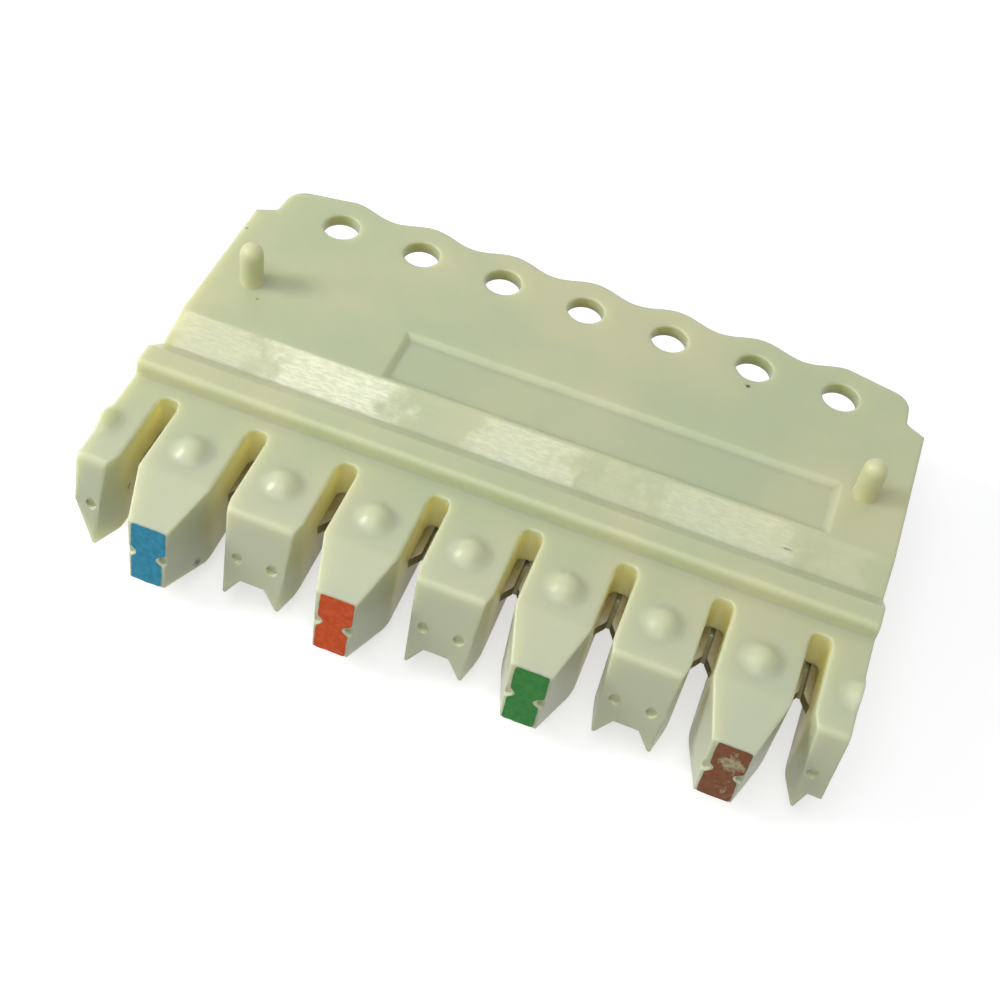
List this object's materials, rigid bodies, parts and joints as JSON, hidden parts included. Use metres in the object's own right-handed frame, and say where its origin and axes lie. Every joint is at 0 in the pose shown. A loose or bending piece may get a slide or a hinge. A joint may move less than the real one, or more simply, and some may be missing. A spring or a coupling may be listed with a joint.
{
  "type": "punch down wiring block",
  "caption": "Clip-on wiring block: moulded half shells with combed wire slots and colour-marked teeth hold double-ended insulation-displacement clips over a skirt with snap holes.",
  "frame": {"origin": "centre of the base of the block lying on its back", "axes": "+X along the row from the blue to the brown mark, +Y from the tooth tips to the skirt edge, +Z out of the front shell"},
  "size_m": [0.0304, 0.02, 0.0071],
  "materials": {
    "ivory_plastic": "satin moulded polycarbonate",
    "tin_plate": "satin tin plate over phosphor bronze",
    "blue_ink": "printed ink",
    "orange_ink": "printed ink",
    "green_ink": "printed ink",
    "brown_ink": "printed ink"
  },
  "bodies": {
    "root": {"front_shell": "ivory_plastic", "back_shell": "ivory_plastic", "contact_1": "tin_plate", "contact_2": "tin_plate", "contact_3": "tin_plate", "contact_4": "tin_plate", "contact_5": "tin_plate", "contact_6": "tin_plate", "contact_7": "tin_plate", "contact_8": "tin_plate", "blue_mark": "blue_ink", "orange_mark": "orange_ink", "green_mark": "green_ink", "brown_mark": "brown_ink"}
  },
  "joints": []
}
